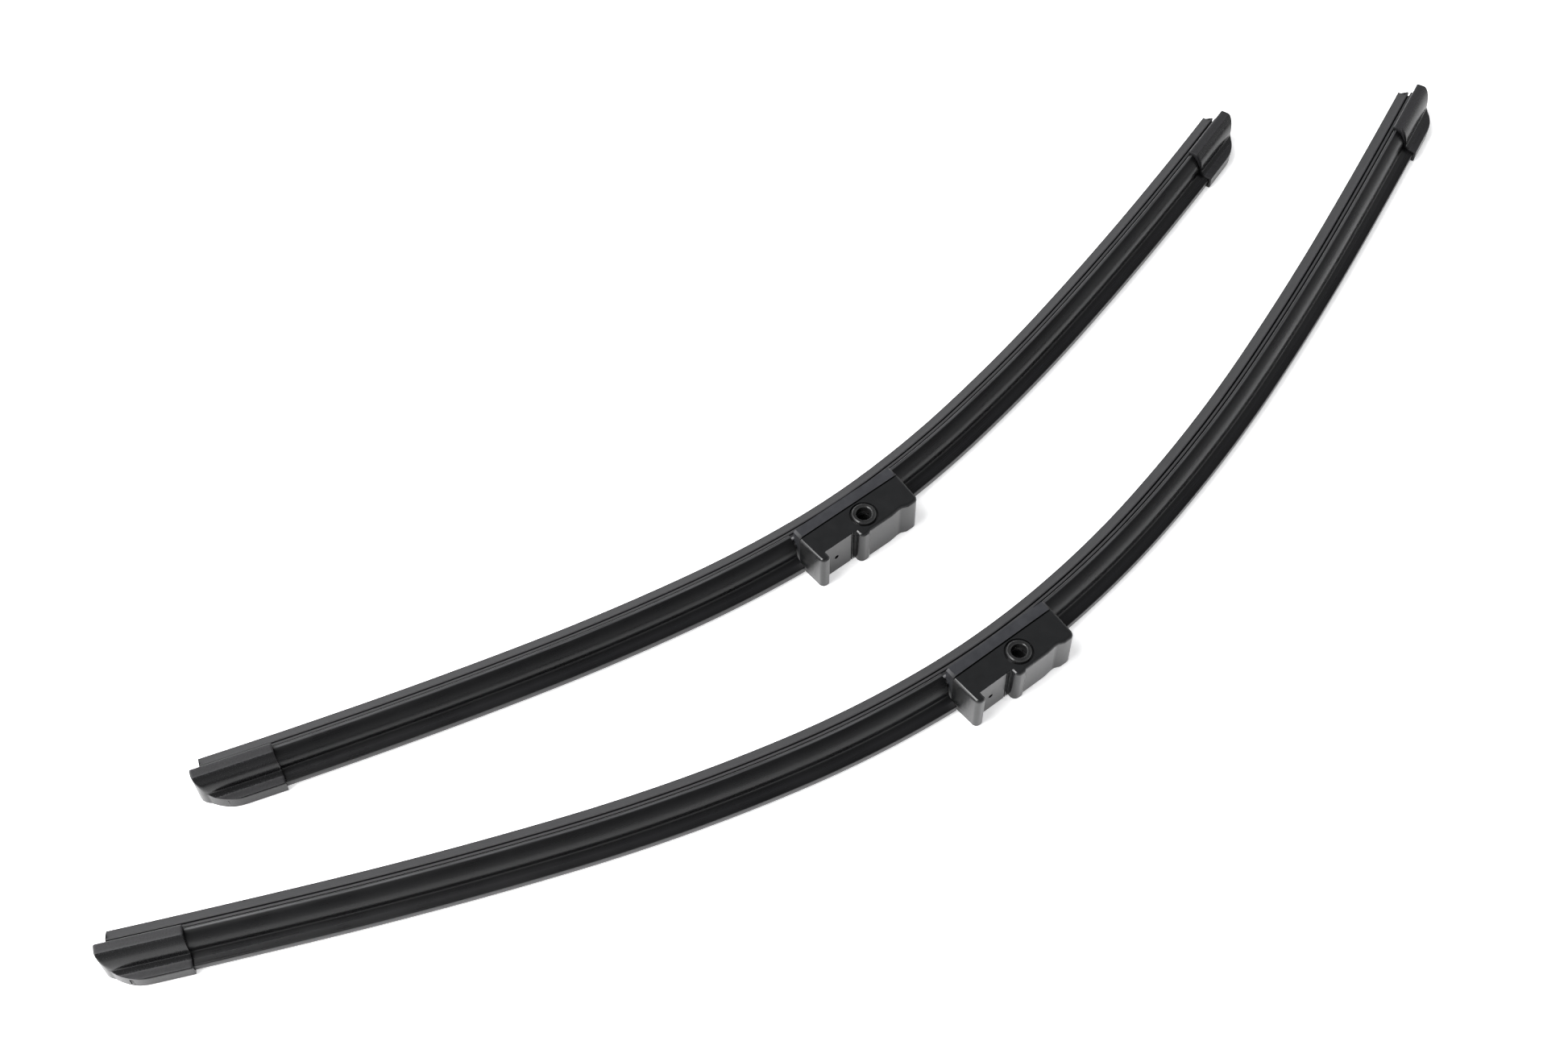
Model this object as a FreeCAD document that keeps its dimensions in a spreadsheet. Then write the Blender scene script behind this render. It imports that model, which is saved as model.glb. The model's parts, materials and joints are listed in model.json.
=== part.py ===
import FreeCAD, Part
import math
import os
import Sketcher
from FreeCAD import Placement, Rotation, Vector

# A matched pair of flat wiper blades, 650 mm and 500 mm, each lying on its side.
#
# Each blade is drawn about its own reference point, the middle of its bend:
#   X runs along the blade, Y towards the wiping lip (the hollow side of the bow), Z up off the
#   table. "Reach" is a distance along Y, "height" along Z and "station" along the bent blade.
# The blade's spine is a chain of tangent arcs either side of that point, tight under the
# connector and nearly straight at the tips.

SIZES = [
    # name, millimetres (or a plain share), what it is
    ("mid_height", 8.6, "height of the blade's middle plane above the table"),
    ("fit_gap", 0.05, "gap between pieces that slide together"),
    # the pair
    ("long_rubber", 650, "length of the long rubber"),
    ("long_shift", 7.15, "middle of the long rubber from the middle of its bend"),
    ("long_bias", 0.043, "how much flatter the right half is than the mean"),
    ("long_bend_a", 329, "bend radius under the connector"),
    ("long_bend_b", 410, "bend radius beside the connector"),
    ("long_bend_c", 690, "bend radius of the inner half"),
    ("long_bend_d", 1519, "bend radius of the outer half"),
    ("long_bend_e", 4027, "bend radius at the tip"),
    ("short_rubber", 500, "length of the short rubber"),
    ("short_shift", 3.9, "middle of the short rubber from the middle of its bend"),
    ("short_bias", 0.0, "how much flatter the right half is than the mean"),
    ("short_bend_a", 312, "bend radius under the connector"),
    ("short_bend_b", 433, "bend radius beside the connector"),
    ("short_bend_c", 827, "bend radius of the inner half"),
    ("short_bend_d", 1735, "bend radius of the outer half"),
    ("short_bend_e", 2110, "bend radius at the tip"),
    ("share_a", 0.08, "share of half a rubber where the first arc ends"),
    ("share_b", 0.255, "share where the second arc ends"),
    ("share_c", 0.51, "share where the third arc ends"),
    ("share_d", 0.765, "share where the fourth arc ends"),
    ("pair_across", -5.3, "short blade from the long one, along the blades"),
    ("pair_apart", 78.1, "short blade from the long one, across the blades"),
    # rubber
    ("lip_reach", 11.2, "edge of the lip"),
    ("lip_edge_half", 0.45, "half the lip's thickness at its edge"),
    ("lip_root_half", 0.75, "half the lip's thickness at its root"),
    ("flange_low", 7.7, "lip side of the shoulder flange"),
    ("flange_high", 7.0, "spoiler side of the shoulder flange"),
    ("flange_half", 2.4, "half the shoulder flange's width"),
    ("tilt_half", 0.55, "half the tilt neck's thickness"),
    ("seat_low", 6.2, "lip side of the head's seat flange"),
    ("seat_high", 5.3, "spoiler side of the head's seat flange"),
    ("seat_half", 2.9, "half the seat flange's width"),
    ("neck_half", 1.9, "half the head's neck, between the claws"),
    ("web_half", 0.7, "half the web between the two rails"),
    ("head_half", 1.8, "half the head's bead behind the rails"),
    ("head_top", 1.0, "reach of the bead's back"),
    # rails
    ("rail_reach", 3.6, "lip side of the rails"),
    ("rail_thick", 0.9, "thickness of a rail"),
    ("rail_inner", 0.75, "inner edge of a rail from the middle plane"),
    ("rail_outer", 3.3, "outer edge of a rail from the middle plane"),
    ("rail_back", 5.6, "end of a rail back from the rubber's end"),
    # spoiler
    ("claw_reach", 4.7, "lip side of the claws"),
    ("claw_half", 4.0, "half the width over the claws"),
    ("claw_round", 0.6, "round of a claw's outer corner"),
    ("brow_radius", 6.8, "radius of the spoiler's rounded brow"),
    ("turn_reach", -0.95, "reach where the brow turns into the hollow"),
    ("turn_height", 6.1, "height where the brow turns into the hollow"),
    ("hollow_radius", 1.2, "radius of the hollow"),
    ("apron_reach", -1.64, "reach where the hollow turns into the apron"),
    ("apron_height", 5.03, "height where the hollow turns into the apron"),
    ("fin_root", -3.2, "reach where the apron meets the fin"),
    ("fin_tip", -5.75, "reach of the fin's tip"),
    ("fin_face", 4.3, "height of the fin's upper face"),
    ("fin_under", 1.35, "height of the fin's lower face"),
    ("fin_round", 0.4, "round of the fin's upper corner"),
    ("lee_root", -2.0, "reach where the lower face leaves the fin"),
    ("lee_toe", 2.2, "reach where the lower face meets the claws"),
    ("spoiler_back", 5.6, "end of a spoiler half back from the rubber's end"),
    # end cap, measured back from its tip
    ("cap_over", 3.4, "tip of the cap beyond the rubber's end"),
    ("cap_rim", 28.6, "length of the cap over the claws"),
    ("cap_skirt", 29.2, "length of the cap over the fin"),
    ("cap_middle", 15, "where the cap lies along the bend, back from its tip"),
    ("cap_face", 5.2, "reach of the cap's face on the lip side"),
    ("cap_deck", 14.2, "height of the cap's deck over the claws"),
    ("cap_deck_end", 1.6, "reach where the deck ends"),
    ("cap_brow_radius", 9, "radius of the cap's brow"),
    ("cap_turn_reach", -1.95, "reach where the cap's brow turns into its hollow"),
    ("cap_turn_height", 7.1, "height where the cap's brow turns into its hollow"),
    ("cap_hollow_radius", 1.0, "radius of the cap's hollow"),
    ("cap_apron_reach", -2.48, "reach where the cap's hollow turns into its apron"),
    ("cap_apron_height", 6.27, "height where the cap's hollow turns into its apron"),
    ("cap_fin_root", -3.75, "reach where the cap's apron meets its fin"),
    ("cap_fin_tip", -7.0, "reach of the cap's fin"),
    ("cap_fin_face", 5.6, "height of the cap's fin"),
    ("cap_round", 0.8, "round of the cap's fin"),
    ("cap_lee_root", -1.8, "reach where the cap's lower face rises"),
    ("cap_lee_toe", 2.6, "reach where the cap's lower face is level again"),
    ("cap_lee_height", 3.1, "height of the cap's lower face under the claws"),
    ("cap_nose", 2.6, "reach where the tip's round starts"),
    ("cap_nose_back", 3.4, "length of the tip's tight round"),
    ("cap_nose_turn", -1.9, "reach where the tight round meets the bow"),
    ("cap_nose_radius", 5.0, "radius of the tip's tight round"),
    ("cap_bow_back", 17, "length of the bow-shaped corner"),
    ("cap_bow_radius", 18.5, "radius of the bow-shaped corner"),
    ("cap_wall", 0.15, "play around the spoiler inside the cap"),
    ("cap_depth", 8.5, "solid end of the cap in front of the spoiler"),
    ("cap_slot", 2.9, "solid end of the cap in front of the rubber"),
    # connector
    ("base_left", -22.7, "left end of the base"),
    ("base_right", 22.5, "right end of the base"),
    ("base_reach", 3.5, "reach of the base"),
    ("seam_reach", -1.0, "reach of the seam between base and cover"),
    ("seam_gap", 0.1, "width of the seam"),
    ("deck", 17.2, "height of the connector"),
    ("base_chamfer", 0.9, "chamfer at the base's ends"),
    ("grip_half", 4.6, "half the width of the base's grip on the rails"),
    ("grip_reach", 4.75, "reach of the grip"),
    ("grip_end", 20, "end of the grip each way"),
    ("lug_half", 2.4, "half the width of the base's two lugs"),
    ("lug_depth", 2.2, "depth of the lugs in the cover"),
    ("lug_inner", 9.5, "inner end of a lug"),
    ("lug_outer", 17, "outer end of a lug"),
    ("cover_left", -23.4, "left end of the cover at the seam"),
    ("wing_left", -23.0, "left end of the wing at its foot"),
    ("wing_inner", -19.2, "inner face of the wing"),
    ("wing_foot", -13.8, "reach of the wing's foot"),
    ("wing_round", 2, "round of the wing's foot"),
    ("wing_corner", 1.25, "round of the wing's inner corner"),
    ("recess_reach", -10.7, "reach of the recessed face"),
    ("groove_left", -7.3, "left side of the first groove"),
    ("groove_width", 0.45, "width of a groove and of the bead beside it"),
    ("groove_depth", 0.5, "depth of a groove"),
    ("hub_left", -5.3, "left side of the hub at its foot"),
    ("hub_foot", -14.1, "reach of the hub"),
    ("hub_round", 2.2, "round of the hub's left corner"),
    ("hub_right", -0.5, "right side of the hub"),
    ("flat_foot", -13.45, "reach of the flat outer face"),
    ("flat_end", 9.5, "right end of the flat face"),
    ("dip_start", 13.0, "left end of the dip beside the heel"),
    ("dip_end", 14.6, "right end of the dip"),
    ("dip_foot", -13.0, "reach of the dip"),
    ("heel_start", 16.8, "left end of the heel"),
    ("heel_foot", -13.95, "reach of the heel"),
    ("heel_round", 2.2, "round of the heel"),
    ("heel_right", 21.9, "right side of the heel"),
    ("edge_round", 1.2, "round of the cover's upper outer edges"),
    ("foot_round", 0.4, "round of the cover's lower outer edges"),
    ("wall", 1.7, "wall of the cover"),
    ("boss_left", -5.6, "left side of the solid boss around the bush"),
    ("boss_right", 8.7, "right side of the boss"),
    ("pin_hole_station", -14.0, "station of the small hole in the recessed face"),
    ("pin_hole_radius", 0.9, "radius of the small hole"),
    # bush
    ("bush_station", 1.7, "station of the bush"),
    ("bush_reach", -6.8, "reach of the bush"),
    ("bore_radius", 2.8, "radius of the bore for the arm's pin"),
    ("stop_radius", 2.3, "radius of the hole in the lip that stops the pin"),
    ("barrel_radius", 3.95, "radius of the bush's barrel"),
    ("collar_radius", 4.5, "radius of the bush's collar"),
    ("collar_top", 18.0, "height of the collar"),
    ("collar_round", 0.35, "round of the collar's edges"),
    ("dish_radius", 5.3, "radius of the dish in the cover around the collar"),
    ("dish_floor", 16.2, "height of the dish's floor"),
    ("snap_radius", 4.4, "radius of the bush's snap bead"),
    ("snap_foot", 0.4, "height of the snap bead's lower face"),
    ("snap_head", 1.5, "height of the snap bead's upper face"),
    ("pocket_radius", 5.0, "radius of the pocket for the snap bead"),
    ("pocket_head", 1.6, "height of the pocket's roof"),
    ("stop_head", 1.9, "height of the lip that stops the pin"),
    ("ring_groove_foot", 13.3, "height of the ring groove's lower side"),
    ("ring_groove_head", 14.5, "height of the ring groove's upper side"),
    ("ring_groove_radius", 3.5, "radius of the ring groove"),
    ("ring_inner", 3.0, "inner radius of the snap ring"),
    ("ring_outer", 3.45, "outer radius of the snap ring"),
    ("ring_half_gap", 25, "half the snap ring's gap, in degrees"),
]

BENDS = ("a", "b", "c", "d", "e")
SHARES = ("share_a", "share_b", "share_c", "share_d")


class Dim:
    """A number together with the spreadsheet expression that gives it."""

    def __init__(self, value, text=None):
        self.value = value
        self.text = text if text is not None else repr(float(value))

    def join(self, sign, other, value):
        return Dim(value, f"({self.text} {sign} {as_dim(other).text})")

    def __add__(self, other):
        return self.join("+", other, self.value + as_dim(other).value)

    def __sub__(self, other):
        return self.join("-", other, self.value - as_dim(other).value)

    def __mul__(self, other):
        return self.join("*", other, self.value * as_dim(other).value)

    def __truediv__(self, other):
        return self.join("/", other, self.value / as_dim(other).value)

    def __neg__(self):
        return Dim(-self.value, f"(0 - {self.text})")


def as_dim(number):
    return number if isinstance(number, Dim) else Dim(number)


doc = FreeCAD.newDocument("WiperBlades")
sheet = doc.addObject("Spreadsheet::Sheet", "Sizes")
D = {}
for row, (alias, value, note) in enumerate(SIZES, start=1):
    sheet.set(f"A{row}", note)
    sheet.set(f"B{row}", str(value))
    sheet.setAlias(f"B{row}", alias)
    D[alias] = Dim(value, f"Sizes.{alias}")
doc.recompute()


# ---------------------------------------------------------------- sketches and features


def new_body(name):
    body = doc.addObject("PartDesign::Body", name)
    body.Label = name
    return body


def new_sketch(body, name, role, lift=None):
    """A sketch on one of the body's own origin planes, lifted along its normal."""
    sketch = body.newObject("Sketcher::SketchObject", f"{body.Name}_{name}")
    plane = [f for f in body.Origin.OriginFeatures if f.Role == role][0]
    sketch.AttachmentSupport = [(plane, "")]
    sketch.MapMode = "FlatFace"
    if lift is not None:
        lift = as_dim(lift)
        sketch.AttachmentOffset = Placement(Vector(0, 0, lift.value), Rotation())
        sketch.setExpression("AttachmentOffset.Base.z", lift.text)
    return sketch


def bind(sketch, kind, ids, name, size):
    """Adds a named dimension to a sketch and ties it to the spreadsheet."""
    index = sketch.addConstraint(Sketcher.Constraint(kind, *ids, size.value))
    sketch.renameConstraint(index, name)
    sketch.setExpression(f"Constraints.{name}", size.text)


def arc_between(start, end, radius):
    """The short arc between two points. A positive radius turns left, a negative one right."""
    chord = end - start
    half = chord.Length / 2
    side = Vector(-chord.y, chord.x, 0).normalize()
    rise = math.sqrt(radius * radius - half * half)
    centre = start + chord / 2 + side * (rise if radius > 0 else -rise)
    first = math.atan2(start.y - centre.y, start.x - centre.x)
    last = math.atan2(end.y - centre.y, end.x - centre.x)
    if radius < 0:
        first, last = last, first
    circle = Part.Circle(centre, Vector(0, 0, 1), abs(radius))
    return Part.ArcOfCircle(circle, first, last)


def outline(sketch, corners):
    """A closed outline through corners (x, y) or (x, y, radius of the arc that leads there)."""
    corners = [tuple(as_dim(part) for part in corner) for corner in corners]
    offset = sketch.GeometryCount
    joints = []
    for index, corner in enumerate(corners):
        before = corners[index - 1]
        start = Vector(before[0].value, before[1].value, 0)
        end = Vector(corner[0].value, corner[1].value, 0)
        edge = offset + index
        if len(corner) == 3 and corner[2].value:
            radius = corner[2].value
            sketch.addGeometry(arc_between(start, end, radius))
            joints.append((edge, 1, 2) if radius > 0 else (edge, 2, 1))
        else:
            sketch.addGeometry(Part.LineSegment(start, end))
            joints.append((edge, 1, 2))
    for index, (edge, _, tail) in enumerate(joints):
        after, head, _ = joints[(index + 1) % len(joints)]
        sketch.addConstraint(Sketcher.Constraint("Coincident", edge, tail, after, head))
    for index, corner in enumerate(corners):
        edge, _, tail = joints[index]
        bind(sketch, "DistanceX", (edge, tail), f"x{edge}", corner[0])
        bind(sketch, "DistanceY", (edge, tail), f"y{edge}", corner[1])
        if len(corner) == 3 and corner[2].value:
            size = corner[2] if corner[2].value > 0 else -corner[2]
            bind(sketch, "Radius", (edge,), f"r{edge}", size)


def circle(sketch, x, y, radius):
    x, y, radius = as_dim(x), as_dim(y), as_dim(radius)
    edge = sketch.GeometryCount
    centre = Vector(x.value, y.value, 0)
    sketch.addGeometry(Part.Circle(centre, Vector(0, 0, 1), radius.value))
    bind(sketch, "DistanceX", (edge, 3), f"x{edge}", x)
    bind(sketch, "DistanceY", (edge, 3), f"y{edge}", y)
    bind(sketch, "Radius", (edge,), f"r{edge}", radius)


def extrude(body, kind, sketch, length, reverse=False, midplane=False):
    """A Pad or a Pocket of a sketch. A Pocket has to take material away."""
    doc.recompute()
    before = body.Shape.Volume if body.Tip else 0
    feature = body.newObject(f"PartDesign::{kind}", f"{sketch.Name}_{kind}")
    feature.Profile = sketch
    length = as_dim(length)
    feature.Length = length.value
    feature.setExpression("Length", length.text)
    feature.Reversed = reverse
    if midplane:
        feature.SideType = "Symmetric"
    sketch.Visibility = False
    doc.recompute()
    if kind == "Pocket" and body.Shape.Volume > before - 1e-6:
        raise RuntimeError(f"{feature.Name} removes nothing")
    return feature


def spine_arcs(blade, side, end):
    """(radius, run) of each arc from the middle of the bend out to station end."""
    half = D[f"{blade}_rubber"] / 2
    bias = D[f"{blade}_bias"] * side
    stops = [half * D[share] for share in SHARES]
    arcs, start = [], as_dim(0)
    for bend, stop in zip(BENDS, stops + [end]):
        stop = end if stop.value >= end.value else stop
        arcs.append((D[f"{blade}_bend_{bend}"] * (bias + 1), stop - start))
        start = stop
        if stop is end:
            break
    return arcs


def spine_sketch(body, blade, side, end):
    """The chain of tangent arcs along one half of a blade."""
    sketch = new_sketch(body, f"spine_{'right' if side > 0 else 'left'}", "XY_Plane")
    at, heading = Vector(0, 0, 0), 0.0
    arcs = spine_arcs(blade, side, end)
    for index, (radius, run) in enumerate(arcs):
        turn = run.value / radius.value
        centre = at + Vector(-side * math.sin(heading), math.cos(heading), 0) * radius.value
        first = math.atan2(at.y - centre.y, at.x - centre.x)
        span = sorted((first, first + side * turn))
        ring = Part.Circle(centre, Vector(0, 0, 1), radius.value)
        sketch.addGeometry(Part.ArcOfCircle(ring, *span))
        heading += turn
        at = centre + Vector(side * math.sin(heading), -math.cos(heading), 0) * radius.value
    near, far = (1, 2) if side > 0 else (2, 1)
    sketch.addConstraint(Sketcher.Constraint("Coincident", 0, near, -1, 1))
    sketch.addConstraint(Sketcher.Constraint("PointOnObject", 0, 3, -2))
    for index, (radius, run) in enumerate(arcs):
        if index:
            sketch.addConstraint(Sketcher.Constraint("Tangent", index - 1, far, index, near))
        bind(sketch, "Radius", (index,), f"radius{index}", radius)
        turn = run / radius
        angle = Dim(turn.value, f"{turn.text} * 180 / pi")
        bind(sketch, "Angle", (index,), f"angle{index}", angle)
    return sketch


def bent_bar(body, blade, name, corners, reach_out, sides=(1, -1), kind="Additive"):
    """A section carried along the spine from the middle of the bend out to reach_out."""
    section = new_sketch(body, name, "YZ_Plane")
    outline(section, corners)
    for side in sides:
        spine = spine_sketch(body, blade, side, reach_out[side])
        doc.recompute()
        pipe = body.newObject(f"PartDesign::{kind}Pipe", f"{body.Name}_{name}_{side + 1}")
        pipe.Profile = (section, [""])
        pipe.Spine = (spine, [f"Edge{i + 1}" for i in range(spine.GeometryCount)])
        spine.Visibility = False
        doc.recompute()
    section.Visibility = False


def rubber_end(blade, side):
    """Station of the rubber's end on one side, as a distance from the middle of the bend."""
    return D[f"{blade}_rubber"] / 2 + D[f"{blade}_shift"] * side


def station(blade, side, distance):
    """Place of a station on the spine, with X along the blade there."""
    at, heading = Vector(0, 0, 0), 0.0
    for radius, run in spine_arcs(blade, side, distance):
        centre = at + Vector(-side * math.sin(heading), math.cos(heading), 0) * radius.value
        heading += run.value / radius.value
        at = centre + Vector(side * math.sin(heading), -math.cos(heading), 0) * radius.value
    turn = Rotation(Vector(0, 0, 1), math.degrees(side * heading))
    return Placement(at, turn)


def mirrored(section):
    """Closes a half section (reach, half width) over the middle plane."""
    middle = D["mid_height"]
    upper = [(reach, middle + half) for reach, half in section]
    lower = [(reach, middle - half) for reach, half in reversed(section)]
    return upper + lower


# ---------------------------------------------------------------- pieces of one blade


def wiper_rubber(blade):
    body = new_body(f"{blade}_wiper_rubber")
    behind = D["rail_reach"] - D["rail_thick"] - D["fit_gap"]
    before = D["rail_reach"] + D["fit_gap"]
    section = [
        (D["lip_reach"], D["lip_edge_half"]),
        (D["flange_low"], D["lip_root_half"]),
        (D["flange_low"], D["flange_half"]),
        (D["flange_high"], D["flange_half"]),
        (D["flange_high"], D["tilt_half"]),
        (D["seat_low"], D["tilt_half"]),
        (D["seat_low"], D["seat_half"]),
        (D["seat_high"], D["seat_half"]),
        (D["seat_high"], D["neck_half"]),
        (before, D["neck_half"]),
        (before, D["web_half"]),
        (behind, D["web_half"]),
        (behind, D["head_half"]),
        (D["head_top"], D["head_half"]),
    ]
    ends = {side: rubber_end(blade, side) for side in (1, -1)}
    bent_bar(body, blade, "section", mirrored(section), ends)
    return body


def spring_rail(blade, name, up):
    body = new_body(f"{blade}_{name}_spring_rail")
    near = D["mid_height"] + D["rail_inner"] * up
    far = D["mid_height"] + D["rail_outer"] * up
    back = D["rail_reach"] - D["rail_thick"]
    corners = [
        (D["rail_reach"], near),
        (D["rail_reach"], far),
        (back, far),
        (back, near),
    ]
    ends = {side: rubber_end(blade, side) - D["rail_back"] for side in (1, -1)}
    bent_bar(body, blade, "section", corners, ends)
    return body


def claw_cavity(gap):
    """Half section of the room for the rubber's head and the rails between the claws."""
    behind = D["rail_reach"] - D["rail_thick"] - gap
    before = D["rail_reach"] + gap
    return [
        (D["claw_reach"] + 1, D["neck_half"] + gap * 2),
        (before, D["neck_half"] + gap * 2),
        (before, D["rail_outer"] + gap),
        (behind, D["rail_outer"] + gap),
        (behind, D["head_half"] + gap * 2),
        (D["head_top"] - gap * 2, D["head_half"] + gap * 2),
    ]


def spoiler_outline(grow):
    """The spoiler's outer section, grown on every side for the room inside an end cap."""
    high = D["mid_height"] + D["claw_half"] + grow
    low = D["mid_height"] - D["claw_half"] - grow
    claw = D["claw_reach"] + grow
    bend = D["claw_round"]
    tip = D["fin_tip"] - grow
    face = D["fin_face"] + grow
    return [
        (claw, high - bend),
        (claw - bend, high, bend),
        (D["turn_reach"] - grow, D["turn_height"], D["brow_radius"] + grow),
        (D["apron_reach"], D["apron_height"] + grow, -D["hollow_radius"]),
        (D["fin_root"], face),
        (tip + D["fin_round"], face),
        (tip, face - D["fin_round"], D["fin_round"]),
        (tip, D["fin_under"] - grow),
        (D["lee_root"], D["fin_under"] - grow),
        (D["lee_toe"], low),
        (claw - bend, low),
        (claw, low + bend, bend),
    ]


def spoiler(blade, side):
    name = "right" if side > 0 else "left"
    body = new_body(f"{blade}_{name}_spoiler")
    end = {side: rubber_end(blade, side) - D["spoiler_back"]}
    bent_bar(body, blade, "section", spoiler_outline(as_dim(0)), end, (side,))
    cavity = mirrored(claw_cavity(D["fit_gap"]))
    bent_bar(body, blade, "cavity", cavity, end, (side,), "Subtractive")
    # the half starts just clear of the connector
    trim = new_sketch(body, "trim", "XZ_Plane")
    start = D["base_right"] if side > 0 else D["cover_left"]
    start = start + D["seam_gap"] * side * 2
    outline(trim, [(-start, -1), (start, -1), (start, 30), (-start, 30)])
    extrude(body, "Pocket", trim, 40, midplane=True)
    return body


def end_cap(blade, side):
    """Drawn with its tip at the origin and its body inboard of that."""
    name = "right" if side > 0 else "left"
    body = new_body(f"{blade}_{name}_end_cap")
    middle = D["mid_height"]
    shell = new_sketch(body, "shell", "YZ_Plane")
    tip, face = D["cap_fin_tip"], D["cap_fin_face"]
    bend = D["cap_round"]
    outline(
        shell,
        [
            (D["cap_face"], D["cap_lee_height"]),
            (D["cap_face"], D["cap_deck"]),
            (D["cap_deck_end"], D["cap_deck"]),
            (D["cap_turn_reach"], D["cap_turn_height"], D["cap_brow_radius"]),
            (D["cap_apron_reach"], D["cap_apron_height"], -D["cap_hollow_radius"]),
            (D["cap_fin_root"], face),
            (tip + bend, face),
            (tip, face - bend, bend),
            (tip, bend),
            (tip + bend, 0, bend),
            (D["cap_lee_root"], 0),
            (D["cap_lee_toe"], D["cap_lee_height"]),
        ],
    )
    extrude(body, "Pad", shell, D["cap_skirt"], reverse=side > 0)
    # the bow-shaped outer corner and the rim, seen from above
    far = D["cap_skirt"] + 2
    low, high = D["cap_fin_tip"], D["cap_face"]
    bow = new_sketch(body, "bow", "XY_Plane")
    outline(
        bow,
        [
            (2 * side, low - 2),
            (2 * side, D["cap_nose"]),
            (0, D["cap_nose"]),
            (-D["cap_nose_back"] * side, D["cap_nose_turn"], D["cap_nose_radius"] * -side),
            (-D["cap_bow_back"] * side, low, D["cap_bow_radius"] * -side),
            (-D["cap_bow_back"] * side, low - 2),
        ],
    )
    extrude(body, "Pocket", bow, 40, midplane=True)
    rim = new_sketch(body, "rim", "XY_Plane")
    outline(
        rim,
        [
            (-far * side, high + 1),
            (-D["cap_rim"] * side, high + 1),
            (-D["cap_rim"] * side, D["cap_deck_end"] - 1),
            (-D["cap_skirt"] * side, D["cap_fin_root"]),
            (-far * side, D["cap_fin_root"]),
        ],
    )
    extrude(body, "Pocket", rim, 40, midplane=True)
    # room for the spoiler, and a slot further on for the rubber's head
    room = new_sketch(body, "room", "YZ_Plane", -D["cap_depth"] * side)
    outline(room, spoiler_outline(D["cap_wall"]))
    extrude(body, "Pocket", room, D["cap_skirt"], reverse=side < 0)
    slot = new_sketch(body, "slot", "YZ_Plane", -D["cap_slot"] * side)
    half = D["neck_half"] + D["cap_wall"]
    outline(
        slot,
        [
            (D["head_top"] - D["cap_wall"], middle - half),
            (D["cap_face"] + 1, middle - half),
            (D["cap_face"] + 1, middle + half),
            (D["head_top"] - D["cap_wall"], middle + half),
        ],
    )
    extrude(body, "Pocket", slot, D["cap_skirt"], reverse=side < 0)
    return body


def connector_base(blade):
    body = new_body(f"{blade}_connector_base")
    plan = new_sketch(body, "plan", "XY_Plane")
    left, right = D["base_left"], D["base_right"]
    seam, reach = D["seam_reach"], D["base_reach"]
    outline(plan, [(left, seam), (right, seam), (right, reach), (left, reach)])
    extrude(body, "Pad", plan, D["deck"])
    corners = [
        (D["grip_reach"], D["grip_half"]),
        (seam + 1, D["grip_half"]),
    ]
    ends = {side: D["grip_end"] for side in (1, -1)}
    bent_bar(body, blade, "grip", mirrored(corners), ends)
    through = {side: right + 3 for side in (1, -1)}
    cavity = mirrored(claw_cavity(D["fit_gap"]))
    bent_bar(body, blade, "channel", cavity, through, kind="Subtractive")
    for side in (1, -1):
        lug = new_sketch(body, f"lug_{side + 1}", "XZ_Plane", -seam)
        low, high = D["mid_height"] - D["lug_half"], D["mid_height"] + D["lug_half"]
        near, far = D["lug_inner"] * side, D["lug_outer"] * side
        outline(lug, [(near, low), (far, low), (far, high), (near, high)])
        extrude(body, "Pad", lug, D["lug_depth"])
    ends_up = [
        edge
        for edge, curve in named_edges(body)
        if level(curve, D["deck"]) and abs(curve.tangentAt(curve.FirstParameter).y) > 0.9
    ]
    round_off(body, "Chamfer", ends_up, D["base_chamfer"])
    return body


def named_edges(body):
    return [(f"Edge{i + 1}", edge) for i, edge in enumerate(body.Shape.Edges)]


def level(edge, height):
    box = edge.BoundBox
    return abs(box.ZMin - height.value) < 1e-3 and abs(box.ZMax - height.value) < 1e-3


def round_off(body, kind, edges, size):
    """A Fillet or Chamfer of the body's tip along named edges."""
    tip = body.Tip
    feature = body.newObject(f"PartDesign::{kind}", f"{body.Name}_{kind}")
    feature.Base = (tip, edges)
    name = "Radius" if kind == "Fillet" else "Size"
    setattr(feature, name, size.value)
    feature.setExpression(name, size.text)
    doc.recompute()


def cover_outline():
    """The cover seen from above, from the seam round the wing, hub and heel."""
    seam = D["seam_reach"] - D["seam_gap"]
    groove, depth = D["groove_width"], D["groove_depth"]
    first = D["groove_left"]
    recess = D["recess_reach"]
    return [
        (D["cover_left"], seam),
        (D["wing_left"], D["wing_foot"] + D["wing_round"]),
        (D["wing_left"] + D["wing_round"], D["wing_foot"], D["wing_round"]),
        (D["wing_inner"] - D["wing_corner"], D["wing_foot"]),
        (D["wing_inner"], D["wing_foot"] + D["wing_corner"], D["wing_corner"]),
        (D["wing_inner"], recess),
        (first, recess),
        (first, recess + depth),
        (first + groove, recess + depth),
        (first + groove, recess),
        (first + groove * 2, recess),
        (first + groove * 2, recess + depth),
        (first + groove * 3, recess + depth),
        (first + groove * 3, recess),
        (D["hub_left"], recess),
        (D["hub_left"], D["hub_foot"] + D["hub_round"]),
        (D["hub_left"] + D["hub_round"], D["hub_foot"], D["hub_round"]),
        (D["hub_right"] - D["hub_round"] / 2, D["hub_foot"]),
        (D["hub_right"], D["flat_foot"]),
        (D["flat_end"], D["flat_foot"]),
        (D["dip_start"], D["dip_foot"]),
        (D["dip_end"], D["dip_foot"]),
        (D["heel_start"], D["heel_foot"]),
        (D["heel_right"] - D["heel_round"], D["heel_foot"]),
        (D["heel_right"], D["heel_foot"] + D["heel_round"], D["heel_round"]),
        (D["base_right"], seam),
    ]


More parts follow.
